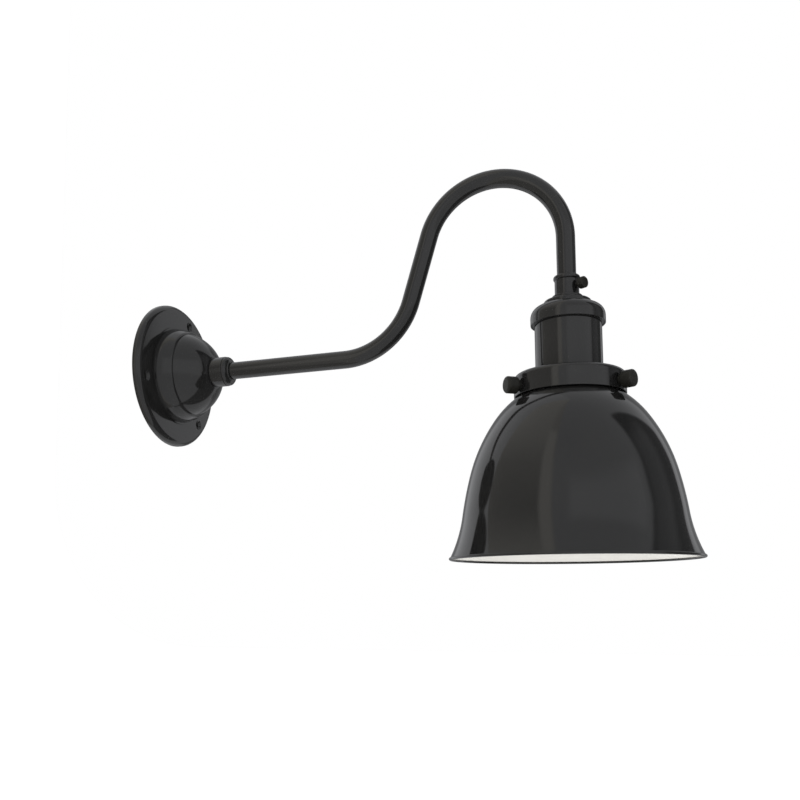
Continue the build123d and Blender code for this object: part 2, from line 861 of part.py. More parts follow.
def centre_contact():
    """The springy leaf, sloping down to a flat tip under the lamp's centre."""
    start = -contact_root + contact_root_length / 2 + seat_clearance
    tip = start + contact_leaf_length
    knee = tip - contact_tip_length
    top = [(start, 0), (knee, -contact_drop), (tip, -contact_drop)]
    bottom = [(x, height - contact_thickness) for x, height in reversed(top)]
    face = Plane.XZ * make_face(Polyline(*top, *bottom, close=True))
    return Pos(0, 0, septum) * extrude(face, contact_width / 2, both=True)


def terminal_post(place, angle, pin):
    """A brass post on the porcelain, drilled for its core, its screw and any pin below."""
    half = terminal_post_size / 2
    post = block((-half, -half, porcelain_top), (half, half, post_top))
    post -= rod(core_radius + press_clearance, post_core_foot, post_top)
    post -= Pos(0, 0, post_screw_level) * Rot(0, 90, 0) * rod(post_screw_radius + press_clearance, 0, half)
    post -= pin
    return Rot(0, 0, angle) * across(place, 0, post)


def post_screw(place, angle):
    """The screw in the side of a post, resting on the core."""
    half = terminal_post_size / 2
    screw = rod(post_screw_radius, core_radius + press_clearance, half)
    screw += rod(post_screw_head_radius, half, half + post_screw_head_height)
    return Rot(0, 0, angle) * Pos(place, 0, post_screw_level) * Rot(0, 90, 0) * screw


def socket_core(place, angle):
    """A core from under the neck bush down into its post."""
    return Rot(0, 0, angle) * core([
        (core_circle_radius, 0, cores_start),
        (core_circle_radius, 0, cores_start - socket_core_drop),
        (place, 0, post_top + socket_core_drop),
        (place, 0, post_core_foot),
    ])


def rivet_hole(radius):
    """The hole in a post's foot for its rivet."""
    return rod(radius + press_clearance, porcelain_top, porcelain_top + terminal_post_rivet_depth)


save("porcelain", [on_lamp(porcelain())])
save("screw_shell", [on_lamp(screw_shell())])
save("shell_rivet", [on_lamp(rivet(shell_rivet_place, shell_rivet_radius, shell_wall))])
save("contact_rivet", [on_lamp(rivet(-contact_root, contact_rivet_radius, contact_thickness))])
save("contact_foot", [on_lamp(contact_foot())])
save("centre_contact", [on_lamp(centre_contact())])

earth_stud = rod(earth_stud_radius, porcelain_top - earth_stud_length, porcelain_top)
earth_post = Rot(0, 0, 90) * across(earth_post_place, 0, earth_stud)
posts = [
    terminal_post(shell_rivet_place, 0, rivet_hole(shell_rivet_radius)),
    terminal_post(contact_root, 180, rivet_hole(contact_rivet_radius)),
    terminal_post(earth_post_place, 90, []) + earth_post,
]
post_places = [(shell_rivet_place, 0), (contact_root, 180), (earth_post_place, 90)]
save("socket_terminals", [on_lamp(post) for post in posts])
save("socket_terminal_screws", [on_lamp(post_screw(place, angle)) for place, angle in post_places])
save("socket_cores", [on_lamp(socket_core(place, angle)) for place, angle in post_places])


# ---- Thumb screws ----
def shank(tip, head_start):
    """A threaded shank from its tip into its head."""
    return rod(screw_radius, tip, head_start + head_socket_depth)


def screw_head(radius, start, length, rounding):
    """A round head with a socket for the shank behind."""
    body = turned([
        (0, start, 0),
        (radius, start, rounding / 2),
        (radius, start + length, rounding),
        (0, start + length, 0),
    ])
    return body - rod(screw_radius + thread_clearance, start, start + head_socket_depth + seat_clearance)


def neck_screw_head():
    """The neck screw's head, dished in front."""
    end = neck_head_start + neck_head_length
    head = screw_head(neck_head_radius, neck_head_start, neck_head_length, head_round)
    return head - rod(head_dimple_radius, end - head_dimple_depth, end)


neck_screw = shank(neck_screw_tip, neck_head_start)
save("neck_screw", [on_lamp(radial(neck_screw, neck_screw_angle, neck_screw_level))])
save("neck_screw_head", [on_lamp(radial(neck_screw_head(), neck_screw_angle, neck_screw_level))])
screw = Rot(0, 90, 0) * shank(shade_screw_tip, knob_start)
knob = Rot(0, 90, 0) * screw_head(knob_radius, knob_start, knob_length, knob_round)
shade_screws = around(screw, shade_screw_count, shade_screw_first_angle)
shade_knobs = around(knob, shade_screw_count, shade_screw_first_angle)
for index in range(shade_screw_count):
    save("shade_screw_" + str(index + 1), [on_lamp(Pos(0, 0, shade_screw_level) * shade_screws[index])])
    save("shade_knob_" + str(index + 1), [on_lamp(Pos(0, 0, shade_screw_level) * shade_knobs[index])])


# ---- Shade ----
def bell(inset):
    """The shade's outline at a depth inside its outer face, from the lip to the rim."""
    moves = [
        (shade_neck_length, 0),
        (neck_fillet_radius, neck_fillet_angle),
        (neck_slope_length, 0),
        (crown_radius, -crown_angle),
        (shoulder_radius, -shoulder_angle),
        (side_radius, -side_angle),
        (flare_radius, flare_angle),
    ]
    return walk((shade_neck_radius - inset, shade_lip_level), -90, moves, inset)


def shade():
    """The spun bell with a rolled lip above and a wired rim below."""
    outer = bell(0)
    inner = bell(shade_wall)
    top = Line(inner[0] @ 0, outer[0] @ 0)
    rim = Line(outer[-1] @ 1, inner[-1] @ 1)
    wall = revolve(Plane.XZ * make_face(outer + inner + [top, rim]), Axis.Z)
    lip = Pos(0, 0, shade_lip_level) * Torus(shade_neck_radius + shade_lip_offset, shade_lip_radius)
    edge = rim @ 0.5
    return wall + lip + Pos(0, 0, edge.Y) * Torus(edge.X, rim_bead_radius)


save("shade", [on_lamp(shade())])
rim_point = bell(0)[-1] @ 1
turn_per_metre = 2 * pi * 1000 / screw_pitch
print("arm projection", round(arm_projection, 2), "crook height", round(crook_height, 2))
print("bush top", round(bush_top, 2), "shade screw height", round(bush_top + shade_screw_level, 2))
print("rim radius", round(rim_point.X, 2), "rim height", round(rim_point.Y + bush_top, 2))
print("dome seat", round(dome_seat, 2), "septum height", round(bush_top + septum, 2))
print("screw travels", neck_screw_travel, shade_screw_travel, "radians a metre", round(turn_per_metre, 2))
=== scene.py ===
from math import acos, atan2, cos, hypot, pi, radians, sin, sqrt, tan

import bmesh
import bpy
from mathutils import Matrix, Vector


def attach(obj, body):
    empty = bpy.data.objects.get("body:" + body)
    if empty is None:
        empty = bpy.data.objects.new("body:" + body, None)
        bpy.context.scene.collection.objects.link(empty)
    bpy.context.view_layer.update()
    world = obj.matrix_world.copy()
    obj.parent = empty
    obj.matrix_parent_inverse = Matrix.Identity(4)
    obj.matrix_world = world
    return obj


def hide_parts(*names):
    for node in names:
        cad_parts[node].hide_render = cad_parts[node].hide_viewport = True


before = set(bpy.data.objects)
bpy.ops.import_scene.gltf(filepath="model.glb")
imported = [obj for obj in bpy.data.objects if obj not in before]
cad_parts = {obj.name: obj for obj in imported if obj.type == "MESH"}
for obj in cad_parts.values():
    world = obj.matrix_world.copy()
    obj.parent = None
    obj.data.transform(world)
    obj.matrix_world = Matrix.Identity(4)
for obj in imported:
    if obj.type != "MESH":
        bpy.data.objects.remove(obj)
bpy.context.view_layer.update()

# The sizes below are in millimetres, as in the CAD source, and MM takes them to metres.
# Wall pieces are turned about Z with heights as distances from the wall, and ON_WALL lays them down.
# Lamp pieces are turned about Z with levels from the top of the neck bush, and ON_LAMP hangs them.
MM = 0.001
ON_WALL = Matrix.Rotation(radians(90), 4, "X")
ON_LAMP = Matrix.Translation((0, -380.02 * MM, 52.68 * MM))


# ---- Wall plate ----
# A pressed and turned steel disc with a rounded front edge, hollow behind, on three bosses that take
# countersunk wall screws. It is sprayed gloss black, like everything outside but the thumb screws.
class Link:
    """One output of a node, with the arithmetic that adds Math nodes to its tree."""

    def __init__(self, tree, socket):
        self.tree, self.socket = tree, socket

    def __add__(self, other):
        return self.tree.maths("ADD", self, other)

    def __sub__(self, other):
        return self.tree.maths("SUBTRACT", self, other)

    def __rsub__(self, other):
        return self.tree.maths("SUBTRACT", other, self)

    def __mul__(self, other):
        return self.tree.maths("MULTIPLY", self, other)

    def __gt__(self, other):
        return self.tree.maths("GREATER_THAN", self, other)

    def __lt__(self, other):
        return self.tree.maths("LESS_THAN", self, other)

    __radd__ = __add__
    __rmul__ = __mul__


class Tree:
    """A node tree that is being filled."""

    def __init__(self, tree):
        self.tree = tree

    def join(self, socket, value):
        if isinstance(value, Link):
            self.tree.links.new(value.socket, socket)
        else:
            socket.default_value = value

    def node(self, kind, values=None, output=0, **settings):
        """Adds a node: its settings first, then its sockets' values or links. Gives back one output."""
        node = self.tree.nodes.new(kind)
        for setting, value in settings.items():
            setattr(node, setting, value)
        for socket, value in (values or {}).items():
            self.join(node.inputs[socket], value)
        return Link(self, node.outputs[output])

    def maths(self, operation, *values):
        return self.node("ShaderNodeMath", dict(enumerate(values)), operation=operation)

    def colour(self, mask, low, high):
        """Mixes two colours by a mask."""
        values = {0: mask, 6: low, 7: high}
        return self.node("ShaderNodeMix", values, output=2, data_type="RGBA")


class Finish(Tree):
    """A material in the making, with its Principled shader and the nodes that feed it."""

    def __init__(self, name, **constants):
        self.material = bpy.data.materials.new(name)
        self.material.use_nodes = True
        super().__init__(self.material.node_tree)
        self.shader = self.tree.nodes["Principled BSDF"]
        for socket, value in constants.items():
            self.shader.inputs[socket.replace("_", " ")].default_value = value
        self.place = self.node("ShaderNodeTexCoord", output="Object")

    def noise(self, scale, detail=2.0, place=None):
        """Cloudy noise from 0 to 1. The scale is in waves to the metre."""
        values = {"Vector": place or self.place, "Scale": scale, "Detail": detail}
        return self.node("ShaderNodeTexNoise", values)

    def coat(self, colour, roughness, height, depth):
        """Feeds the shader: the base colour, the roughness, and a bump of a height map in metres."""
        bump = self.node("ShaderNodeBump", {"Strength": 1.0, "Distance": depth, "Height": height})
        for socket, value in (("Base Color", colour), ("Roughness", roughness), ("Normal", bump)):
            self.join(self.shader.inputs[socket], value)
        return self.material


def gloss_black():
    """Sprayed gloss enamel: soft orange peel, thin cloudy haze and a few nibs of dust under it."""
    finish = Finish("gloss_black_enamel", IOR=1.5)
    haze = finish.noise(22, 3)
    peel = finish.noise(420, 1)
    cell = finish.node("ShaderNodeTexVoronoi", {"Vector": finish.place, "Scale": 120}, output="Distance")
    nib = cell < 0.035
    shade = finish.colour(haze, (0.0080, 0.0080, 0.0082, 1), (0.0130, 0.0128, 0.0122, 1))
    return finish.coat(shade, 0.05 + 0.06 * haze + 0.2 * nib, peel + 0.8 * nib, 0.000002)


GLOSS_BLACK = gloss_black()
RING_STEPS = 144
CREASE = radians(28)


def turned(corners, steps=RING_STEPS, segments=6):
    """Spins a closed outline. Each corner is a radius, a height and the radius it is rounded to."""
    mesh = bmesh.new()
    points = [mesh.verts.new((radius * MM, 0, height * MM)) for radius, height, rounding in corners]
    edges = [mesh.edges.new(pair) for pair in zip(points, points[1:] + points[:1])]
    spin_round(mesh, points + edges, steps)
    for index, (radius, height, rounding) in enumerate(corners):
        if rounding:
            before, after = corners[index - 1], corners[(index + 1) % len(corners)]
            arriving = atan2(height - before[1], radius - before[0])
            leaving = atan2(after[1] - height, after[0] - radius)
            turn = abs((leaving - arriving + pi) % (2 * pi) - pi)
            rounded(mesh, rings_at(mesh, radius, height), rounding * tan(turn / 2), segments)
    return mesh


def spin_round(mesh, outline, steps=RING_STEPS):
    """Spins an outline once round Z and closes the surface."""
    bmesh.ops.spin(
        mesh, geom=outline, cent=(0, 0, 0), axis=(0, 0, 1), angle=2 * pi, steps=steps, use_merge=True
    )
    bmesh.ops.remove_doubles(mesh, verts=mesh.verts, dist=0.001 * MM)
    bmesh.ops.recalc_face_normals(mesh, faces=mesh.faces)


def rings_at(mesh, radius, height):
    """The edges that run round a turned mesh at one corner of its outline."""
    ring = {
        vert for vert in mesh.verts
        if abs(hypot(vert.co.x, vert.co.y) - radius * MM) < 0.01 * MM and abs(vert.co.z - height * MM) < 0.01 * MM
    }
    return [edge for edge in mesh.edges if ring.issuperset(edge.verts)]


def rounded(mesh, edges, width, segments):
    bmesh.ops.bevel(
        mesh, geom=edges, offset=width * MM, segments=segments, profile=0.5, affect="EDGES", material=-1
    )


def placed(mesh, matrix):
    mesh.transform(matrix)
    return mesh


def copies(mesh, matrices):
    """One mesh that holds a copy of another at each place."""
    data = bpy.data.meshes.new("copies")
    mesh.to_mesh(data)
    whole = bmesh.new()
    for matrix in matrices:
        single = data.copy()
        single.transform(matrix)
        whole.from_mesh(single)
    return whole


def carved(mesh, tool, operation="DIFFERENCE"):
    """Cuts a closed tool out of a closed mesh, or joins it on."""
    things = []
    for source in (mesh, tool):
        data = bpy.data.meshes.new("blank")
        source.to_mesh(data)
        things.append(bpy.data.objects.new("blank", data))
        bpy.context.scene.collection.objects.link(things[-1])
    cut = things[0].modifiers.new("cut", "BOOLEAN")
    cut.operation, cut.solver, cut.object = operation, "EXACT", things[1]
    result = bmesh.new()
    result.from_mesh(things[0].evaluated_get(bpy.context.evaluated_depsgraph_get()).data)
    for thing in things:
        bpy.data.objects.remove(thing)
    return result


def piece(name, mesh, finishes, body, slot, *nodes):
    """Makes one object of a mesh, which rides on a body and stands for CAD nodes."""
    for face in mesh.faces:
        face.smooth = True
    for edge in mesh.edges:
        edge.smooth = len(edge.link_faces) == 2 and edge.calc_face_angle() < CREASE
    data = bpy.data.meshes.new(name)
    mesh.to_mesh(data)
    for finish in finishes:
        data.materials.append(finish)
    thing = bpy.data.objects.new(name, data)
    bpy.context.scene.collection.objects.link(thing)
    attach(thing, body)
    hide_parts(*nodes)
    return thing


def evened(thing):
    """Keeps the flats flat beside their rounded edges."""
    thing.modifiers.new("even_shading", "WEIGHTED_NORMAL").keep_sharp = True


def turns(first_angle, count=3):
    """Equal turns about the axis of a turned piece."""
    return [Matrix.Rotation(radians(first_angle + 360 * index / count), 4, "Z") for index in range(count)]


plate = turned([
    (30.0, 4.0, 0.3), (30.0, 7.5, 0.4), (68.0, 7.5, 5.0), (68.0, 0, 0.4), (62.0, 0, 0.3), (62.0, 4.0, 0.5),
])
PLATE_FIXINGS = [turn @ Matrix.Translation((56.0 * MM, 0, 0)) for turn in turns(72)]
plate_boss = turned([(0, 0, 0), (7.5, 0, 0.4), (7.5, 5.75, 0), (0, 5.75, 0)], 48, 3)
plate_drill = turned([
    (0, -1.0, 0), (2.6, -1.0, 0), (2.6, 5.2, 0), (4.9, 7.5, 0), (4.9, 9.0, 0), (0, 9.0, 0),
], 48)
plate = carved(plate, copies(plate_boss, PLATE_FIXINGS), "UNION")
plate = carved(plate, copies(plate_drill, PLATE_FIXINGS))
evened(piece("backplate", placed(plate, ON_WALL), [GLOSS_BLACK], "arm", "black_paint", "wall_plate"))


# ---- Dome cover ----
# Spun from steel sheet 1.2 mm thick: a drum with bowed, leaning sides on an outturned lip, then a
# ball-shaped front that ends in a flat seat. Three lugs welded inside take screws from behind.
def walk(mesh, geometry, start, heading, moves, forward):
    """Draws geometry along tangent runs and arcs in an upright plane and leaves its track behind.
    A move is a length or a radius, a turn in degrees with left positive, and a number of steps."""
    up = Vector((0, 0, 1))
    axis = forward.cross(up)
    place = (forward * start[0] + up * start[1]) * MM
    for size, turn, steps in moves:
        angle = radians(heading)
        ahead = forward * cos(angle) + up * sin(angle)
        left = up * cos(angle) - forward * sin(angle)
        centre = place + left * size * MM * (1 if turn > 0 else -1)
        travel = Vector() if turn else ahead * size * MM
        drawn = bmesh.ops.spin(
            mesh, geom=geometry, cent=centre, axis=axis, dvec=travel / steps, angle=radians(turn), steps=steps
        )
        geometry = drawn["geom_last"]
        place = centre + Matrix.Rotation(radians(turn), 3, axis) @ (place - centre) + travel
        heading += turn
    return geometry


def outline(mesh, start, heading, moves):
    """Draws an open outline in the half plane that a turned piece is spun from."""
    first = mesh.verts.new((start[0] * MM, 0, start[1] * MM))
    walk(mesh, [first], start, heading, moves, Vector((1, 0, 0)))


DOME_WALL = 1.2
BALL_RADIUS, BALL_REACH = 41.6, 8.6
SIDE_RADIUS, SHOULDER_RADIUS, SHOULDER_UP = 40.0, 3.0, 21.2
SEAT_REACH, SEAT_RADIUS = 47.66, 14.3
side_lean, shoulder_lean = atan2(1.4, 7.2), atan2(3.7, 9.5)
side_tangent = SIDE_RADIUS * tan((shoulder_lean - side_lean) / 2)
shoulder_tangent = SHOULDER_RADIUS * tan((pi / 2 - shoulder_lean) / 2)
SHOULDER_OUT = 40.4 - shoulder_tangent
lip_in = 45.5 - DOME_WALL * tan(side_lean)
centres_apart = hypot(SHOULDER_OUT, SHOULDER_UP - BALL_REACH)
along = (BALL_RADIUS**2 - SHOULDER_RADIUS**2 + centres_apart**2) / (2 * centres_apart)
ball_start = atan2(SHOULDER_UP - BALL_REACH, SHOULDER_OUT) + acos(along / BALL_RADIUS)
meeting_up = BALL_REACH + BALL_RADIUS * sin(ball_start) - SHOULDER_UP
meeting_out = BALL_RADIUS * cos(ball_start) - SHOULDER_OUT
shoulder_turn = (atan2(meeting_up, meeting_out) - shoulder_lean) / pi * 180
ball_heading = ball_start / pi * 180 + 90
ball_turn = acos(SEAT_RADIUS / BALL_RADIUS) / pi * 180 - ball_heading + 90

dome = bmesh.new()
outline(dome, (46.8, 7.5 + DOME_WALL), 180, [(46.8 - lip_in, 0, 1)])
outline(dome, (lip_in, 7.5 + DOME_WALL), 90 + side_lean / pi * 180, [
    (hypot(1.4, 7.2) - side_tangent - DOME_WALL / cos(side_lean), 0, 1),
    (SIDE_RADIUS, (shoulder_lean - side_lean) / pi * 180, 8),
    (hypot(3.7, 9.5) - side_tangent - shoulder_tangent, 0, 2),
    (SHOULDER_RADIUS, shoulder_turn, 12),
])
outline(dome, (BALL_RADIUS * cos(ball_start), BALL_REACH + BALL_RADIUS * sin(ball_start)), ball_heading, [
    (BALL_RADIUS, ball_turn, 20),
])
outline(dome, (SEAT_RADIUS, SEAT_REACH), 180, [(SEAT_RADIUS - 6.52, 0, 1)])
bmesh.ops.remove_doubles(dome, verts=dome.verts, dist=0.01 * MM)
spin_round(dome, dome.verts[:] + dome.edges[:])
dome_piece = piece("dome", placed(dome, ON_WALL), [GLOSS_BLACK], "arm", "black_paint", "dome_cover")


def walled(thing, thickness):
    """Gives a skin its thickness, inwards from its outer face."""
    wall = thing.modifiers.new("wall", "SOLIDIFY")
    wall.thickness, wall.offset, wall.use_even_offset = thickness * MM, -1, True


walled(dome_piece, DOME_WALL)
evened(dome_piece)


# ---- Hub and lock nut ----
# Turned steel. The hub is threaded on the nipple behind and bored for the arm in front, and the lock
# nut, with a rounded shoulder and a short nose, squeezes a rubber ring on to the arm.
arm_hub = turned([
    (6.52, 47.66, 0), (13.9, 47.66, 0.25), (13.9, 60.06, 0.5), (10.6, 60.06, 0),
    (10.6, 62.06, 0.2), (7.96, 62.06, 0), (7.96, 52.96, 0), (6.52, 52.96, 0),
])
arm_nut = turned([
    (10.62, 60.06, 0), (13.6, 60.06, 0.5), (13.6, 64.46, 3.55), (9.84, 64.46, 0.08),
    (9.84, 65.86, 0.7), (7.96, 65.86, 0.3), (7.96, 63.06, 0), (10.62, 63.06, 0),
])
evened(piece("arm_hub", placed(arm_hub, ON_WALL), [GLOSS_BLACK], "arm", "black_paint", "hub"))
evened(piece("arm_nut", placed(arm_nut, ON_WALL), [GLOSS_BLACK], "arm", "black_paint", "lock_nut"))


# ---- Swan neck ----
# One length of steel tube, 16 mm across, bent twice: a gentle knee up from the level run, and the
# crook that turns it back down to hang the lamp.
TUBE_RADIUS, TUBE_START = 7.94, 52.96
neck = bmesh.new()
section = bmesh.ops.create_circle(neck, segments=64, radius=TUBE_RADIUS * MM)["verts"]
bmesh.ops.transform(neck, verts=section, matrix=Matrix.Translation((0, -TUBE_START * MM, 0)) @ ON_WALL)
walk(neck, section + neck.edges[:], (TUBE_START, 0), 0, [
    (180.0 - TUBE_START, 0, 8),
    (66.0, 73.1, 48),
    (60.2, 0, 4),
    (61.0, -163.1, 96),
    (57.7, 0, 4),
], Vector((0, -1, 0)))
bmesh.ops.recalc_face_normals(neck, faces=neck.faces)
walled(piece("swan_neck", neck, [GLOSS_BLACK], "arm", "black_paint", "swan_neck_tube"), 1.5)


# ---- Neck bush ----
# A turned bush with a rolled bead on top, which slips over the end of the arm and turns on it. Its
# spigot goes down through the cap to the nut inside, and its side is tapped for the thumb screw.
def radial(angle, level):
    """Lays a piece made along Z out from the lamp's axis."""
    turn = Matrix.Rotation(radians(angle), 4, "Z") @ Matrix.Rotation(radians(90), 4, "Y")
    return ON_LAMP @ Matrix.Translation((0, 0, level * MM)) @ turn


NECK_SCREW = radial(-120.0, -9.5)
neck_bush = turned([
    (8.02, 0, 0.3), (11.1, 0, 1.9), (11.1, -4.2, 1.9), (10.1, -4.2, 0),
    (10.1, -17.4, 0.2), (9.3, -17.4, 0), (9.3, -25.0, 0.3), (5.4, -25.0, 0), (5.4, -24.0, 0), (8.02, -24.0, 0),
])
tapping = turned([(0, 5.0, 0), (2.05, 5.0, 0), (2.05, 12.0, 0), (0, 12.0, 0)], 48)
neck_bush = carved(placed(neck_bush, ON_LAMP), placed(tapping, NECK_SCREW))
evened(piece("lamp_bush", neck_bush, [GLOSS_BLACK], "holder", "black_paint", "neck_bush"))


# ---- Cap, body and gallery ----
# Spun steel 1.2 mm thick. The stepped cap screws down over the body's collar, with a fine straight
# knurl round its band, and the gallery is clamped under the body by the ring nut.
CAP_BAND_TOP, CAP_BAND_FOOT = -35.4, -40.6
cap = turned([
    (9.32, -17.4, 0), (12.6, -17.4, 0.8), (12.6, -19.5, 0.3), (19.6, -22.1, 1.4), (19.6, -25.9, 0.5),
    (30.8, -27.4, 9.0), (30.8, CAP_BAND_TOP, 0), (30.8, CAP_BAND_FOOT, 0), (30.8, -41.7, 0.35),
    (29.6, -41.7, 0.35), (29.6, -28.6, 7.8), (18.4, -27.1, 0), (18.4, -23.3, 0.2), (11.4, -20.7, 0),
    (11.4, -18.6, 0), (9.32, -18.6, 0),
], segments=10)
band = [
    face for face in cap.faces
    if CAP_BAND_FOOT * MM < face.calc_center_median().z < CAP_BAND_TOP * MM
    and hypot(*face.calc_center_median().xy) > 30.2 * MM
]
bmesh.ops.inset_individual(cap, faces=band, thickness=0.3 * MM, depth=0.05 * MM, use_even_offset=True)
evened(piece("lamp_cap", placed(cap, ON_LAMP), [GLOSS_BLACK], "holder", "black_paint", "holder_cap"))

lamp_body = turned([
    (21.2, -81.7, 0), (27.6, -81.7, 0.8), (27.6, -41.1, 0), (29.58, -41.1, 0.3), (29.58, -35.1, 0.3),
    (26.4, -35.1, 0.2), (26.4, -80.2, 0), (21.2, -80.2, 0),
])
evened(piece("lamp_body", placed(lamp_body, ON_LAMP), [GLOSS_BLACK], "holder", "black_paint", "holder_body"))

GALLERY_RADIUS, BUSH_LEVEL = 45.7, -96.2
SHADE_SCREWS = [radial(angle, BUSH_LEVEL) for angle in (7, 127, 247)]
gallery = turned([
    (21.2, -81.7, 0), (27.6, -81.7, 0.4), (GALLERY_RADIUS, -84.7, 4.0), (GALLERY_RADIUS, -102.7, 0.45),
    (44.5, -102.7, 0.45), (44.5, -85.9, 2.8), (27.6, -82.9, 0), (21.2, -82.9, 0),
])
bush_hole = turned([(0, 30.0, 0), (3.42, 30.0, 0), (3.42, 50.0, 0), (0, 50.0, 0)], 48)
gallery = carved(placed(gallery, ON_LAMP), copies(bush_hole, SHADE_SCREWS))
evened(piece("lamp_gallery", gallery, [GLOSS_BLACK], "holder", "black_paint", "gallery"))


# ---- Threaded bushes and thumb screws ----
# Three bushes pressed into the gallery carry M4 screws with round heads that close on the shade's
# neck, and one smaller screw in the neck bush locks the swivel. They are dipped a dull black.
def dull_black():
    """Dipped dull black: a little uneven and warm, with a fine dry grain."""
    finish = Finish("dull_black_dip", IOR=1.3)
    cloud = finish.noise(90, 3)
    grain = finish.noise(2400, 2)
    shade = finish.colour(cloud, (0.009, 0.009, 0.0075, 1), (0.016, 0.0152, 0.0125, 1))
    return finish.coat(shade, 0.38 + 0.14 * cloud, grain + 0.6 * cloud, 0.00002)


DULL_BLACK = dull_black()
bush = turned([
    (2.05, 43.9, 0), (3.4, 43.9, 0.3), (3.4, 45.7, 0), (4.6, 45.7, 0.2), (4.6, 47.6, 0.4), (2.05, 47.6, 0.3),
], 64, 3)
bushes = copies(bush, SHADE_SCREWS)
evened(piece("gallery_bushes", bushes, [DULL_BLACK], "holder", "matte_black", "screw_bushes"))


def helix(outer, inner, pitch, low, high, steps=48):
    """A threaded skin: a zigzag spun once while it climbs one pitch, with its ends trimmed level."""
    mesh = bmesh.new()
    count = int((high - low) / pitch) + 3
    heights = [low + pitch * (index / 2 - 1) for index in range(2 * count)]
    corners = [
        mesh.verts.new(((inner, outer)[index % 2] * MM, 0, height * MM)) for index, height in enumerate(heights)
    ]
    edges = [mesh.edges.new(pair) for pair in zip(corners, corners[1:])]
    bmesh.ops.spin(
        mesh, geom=corners + edges, cent=(0, 0, 0), axis=(0, 0, 1), dvec=(0, 0, pitch * MM / steps),
        angle=2 * pi, steps=steps
    )
    bmesh.ops.remove_doubles(mesh, verts=mesh.verts, dist=0.001 * MM)
    bmesh.ops.recalc_face_normals(mesh, faces=mesh.faces)
    for height, side in ((low, -1), (high, 1)):
        bmesh.ops.bisect_plane(
            mesh, geom=mesh.verts[:] + mesh.edges[:] + mesh.faces[:], plane_co=(0, 0, height * MM),
            plane_no=(0, 0, side), clear_outer=True
        )
    return mesh


def thumb_screw(name, tip, end, head, place, nodes):
    """A threaded shank with a turned head, as two pieces on their own bodies."""
    shank = helix(2.0, 1.65, 0.7, tip, end)
    bmesh.ops.holes_fill(shank, edges=[edge for edge in shank.edges if edge.is_boundary], sides=0)
    piece(name, placed(shank, place), [DULL_BLACK], nodes[0], "matte_black", nodes[0])
    knob = placed(turned(head, 96), place)
    evened(piece(name + "_head", knob, [DULL_BLACK], nodes[1], "matte_black", nodes[1]))


KNOB = [(2.05, 48.4, 0.2), (7.0, 48.4, 1.0), (7.0, 58.2, 2.0), (0, 58.2, 0), (0, 51.5, 0), (2.05, 51.5, 0)]
HEAD = [
    (2.05, 13.4, 0.2), (4.8, 13.4, 0.45), (4.8, 18.6, 0.9), (2.6, 18.6, 0.2), (2.6, 17.9, 0.2),
    (0, 17.9, 0), (0, 16.5, 0), (2.05, 16.5, 0),
]
for index, place in enumerate(SHADE_SCREWS, 1):
    names = ("shade_screw_%d" % index, "shade_knob_%d" % index)
    thumb_screw("thumb_screw_%d" % index, 40.1, 51.4, KNOB, place, names)
thumb_screw("lock_screw", 7.54, 16.4, HEAD, NECK_SCREW, ("neck_screw", "neck_screw_head"))


# ---- Socket ----
# A glazed porcelain drum with a skirt for the ring nut, and a thin brass shell with a rolled thread
# hung inside it by a tab. The nut is zinc-plated, and the contact is a springy brass leaf.
def glaze():
    """Glazed porcelain: warm white, with faint clouds, iron specks and a rippled glaze."""
    finish = Finish("white_glaze", IOR=1.5, Coat_Roughness=0.05)
    cloud = finish.noise(70, 3)
    cell = finish.node("ShaderNodeTexVoronoi", {"Vector": finish.place, "Scale": 420}, output="Distance")
    white = finish.colour(cloud - 0.8 * (cell < 0.05), (0.52, 0.49, 0.42, 1), (0.78, 0.76, 0.70, 1))
    return finish.coat(white, 0.16 + 0.12 * cloud, finish.noise(500, 1), 0.00002)


def brass():
    """Stamped brass: drawn streaks, with a slightly brown tarnish in the clouds."""
    finish = Finish("stamped_brass", Metallic=1.0)
    tarnish = finish.noise(130, 4)
    streak = finish.noise(700, 3)
    gold = finish.colour(tarnish, (0.42, 0.27, 0.09, 1), (0.80, 0.58, 0.24, 1))
    return finish.coat(gold, 0.22 + 0.25 * tarnish, streak, 0.00002)


def zinc():
    """Zinc-plated steel: blue-grey spangle, dulled in patches."""
    finish = Finish("zinc_plate", Metallic=1.0)
    cell = finish.node("ShaderNodeTexVoronoi", {"Vector": finish.place, "Scale": 260}, output="Color")
    dull = finish.noise(60, 3)
    grey = finish.colour(0.5 * dull + 0.5 * cell, (0.38, 0.39, 0.41, 1), (0.66, 0.67, 0.69, 1))
    return finish.coat(grey, 0.28 + 0.25 * dull, finish.noise(1500, 2), 0.00002)


PORCELAIN_GLAZE, BRASS, ZINC = glaze(), brass(), zinc()
porcelain = turned([
    (0, -70.0, 0), (14.2, -70.0, 0), (14.2, -98.0, 0.8), (20.9, -98.0, 0.8), (20.9, -80.2, 0.3),
    (25.8, -80.2, 0.3), (25.8, -56.0, 0.8), (0, -56.0, 0),
])
evened(piece(
    "socket_drum", placed(porcelain, ON_LAMP), [PORCELAIN_GLAZE], "holder", "porcelain", "porcelain"
))

